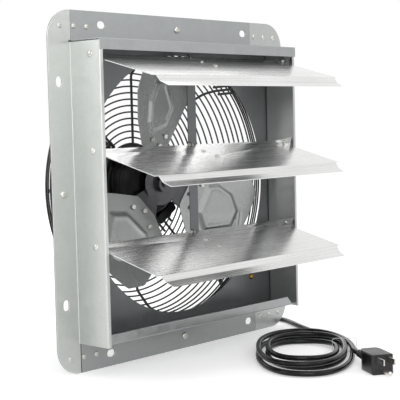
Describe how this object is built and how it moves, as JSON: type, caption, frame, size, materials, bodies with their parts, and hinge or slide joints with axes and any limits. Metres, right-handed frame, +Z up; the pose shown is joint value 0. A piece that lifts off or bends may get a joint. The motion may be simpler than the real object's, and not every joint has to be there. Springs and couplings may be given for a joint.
{
  "type": "shutter exhaust fan",
  "caption": "Wall exhaust fan: square sheet-metal flange and housing with linked gravity louvres, pressed-blade fan on a motor carried by a round wire guard, and a coiled power cord with plug.",
  "frame": {"origin": "on the fan's axis, in the front face of the square wall flange, which is the centre of the flange's fixing slots", "axes": "+Z up, +Y from the louvres to the motor along the fan's axis, +X to the right seen from the louvres"},
  "size_m": [0.4189, 0.4045, 0.41],
  "materials": {
    "housing_sheet": "galvanised sheet, satin",
    "louvre_sheet": "bright rolled sheet, soft mirror",
    "tie_bar_steel": "dull rolled steel",
    "blade_steel": "pressed galvanised sheet",
    "fastener_steel": "zinc plated",
    "nylon": "natural nylon",
    "guard_wire": "black powder coat, satin",
    "motor_paint": "black paint, satin",
    "turned_steel": "turned",
    "core_iron": "stacked sheet",
    "winding_copper": "varnished wire",
    "brass_screw": "plain",
    "cord_jacket": "glossy black jacket",
    "clear_tie": "clear band",
    "contact_metal": "nickel plated"
  },
  "bodies": {
    "housing": {"bottom_panel": "housing_sheet", "cord_coil": "cord_jacket", "cord_gland": "cord_jacket", "cord_tie": "clear_tie", "earth_screw": "brass_screw", "flange_rivets": "fastener_steel", "guard_diagonal_ribs": "guard_wire", "guard_face_rings": "guard_wire", "guard_inner_ring": "guard_wire", "guard_nuts": "fastener_steel", "guard_ribs": "guard_wire", "guard_screws": "fastener_steel", "guard_side_rings": "guard_wire", "guard_stub_wires": "guard_wire", "left_side_panel": "housing_sheet", "louvre_pivot_rivets": "fastener_steel", "louvre_pivot_spacers": "nylon", "motor_bearings": "turned_steel", "motor_front_bell": "motor_paint", "motor_mount_plate": "guard_wire", "motor_rear_bell": "motor_paint", "motor_shell": "motor_paint", "motor_stator": "core_iron", "motor_windings": "winding_copper", "motor_wiring_box": "motor_paint", "mount_clamp_bars": "guard_wire", "mount_screws": "fastener_steel", "orifice_panel": "housing_sheet", "plug_body": "cord_jacket", "plug_earth_pin": "contact_metal", "plug_prongs": "contact_metal", "plug_strain_relief": "cord_jacket", "power_cord": "cord_jacket", "right_side_panel": "housing_sheet", "top_panel": "housing_sheet"},
    "fan": {"fan_spider": "blade_steel", "fan_blade_1": "blade_steel", "fan_blade_2": "blade_steel", "fan_blade_3": "blade_steel", "blade_rivets": "fastener_steel", "hub_boss": "turned_steel", "hub_set_screw": "turned_steel", "motor_shaft": "turned_steel", "motor_rotor_core": "core_iron"},
    "louvre_1": {"louvre_1_panel": "louvre_sheet", "louvre_1_clip": "tie_bar_steel", "louvre_1_rivets": "fastener_steel"},
    "louvre_2": {"louvre_2_panel": "louvre_sheet", "louvre_2_clip": "tie_bar_steel", "louvre_2_rivets": "fastener_steel"},
    "louvre_3": {"louvre_3_panel": "louvre_sheet", "louvre_3_clip": "tie_bar_steel", "louvre_3_rivets": "fastener_steel"},
    "tie_bar": {"tie_bar": "tie_bar_steel"}
  },
  "joints": [
    {"name": "fan_spin", "type": "hinge", "parent": "housing", "child": "fan", "pos_m": [0, 0.04, 0], "axis": [0, 1, 0], "continuous": true},
    {"name": "louvre_1_pivot", "type": "hinge", "parent": "housing", "child": "louvre_1", "pos_m": [0, -0.0322, 0.1542], "axis": [1, 0, 0], "range_deg": [-10, 60]},
    {"name": "louvre_2_pivot", "type": "hinge", "parent": "housing", "child": "louvre_2", "pos_m": [0, -0.0322, 0.0475], "axis": [1, 0, 0], "range_deg": [-10, 60]},
    {"name": "louvre_3_pivot", "type": "hinge", "parent": "housing", "child": "louvre_3", "pos_m": [0, -0.0322, -0.0592], "axis": [1, 0, 0], "range_deg": [-10, 60]},
    {"name": "tie_bar_pivot", "type": "hinge", "parent": "louvre_1", "child": "tie_bar", "pos_m": [0, -0.01958, 0.15541], "axis": [1, 0, 0], "range_deg": [-60, 10]}
  ],
  "couplings": [
    {"joint": "louvre_2_pivot", "follows": "louvre_1_pivot", "ratio": 1},
    {"joint": "louvre_3_pivot", "follows": "louvre_1_pivot", "ratio": 1},
    {"joint": "tie_bar_pivot", "follows": "louvre_1_pivot", "ratio": -1}
  ]
}
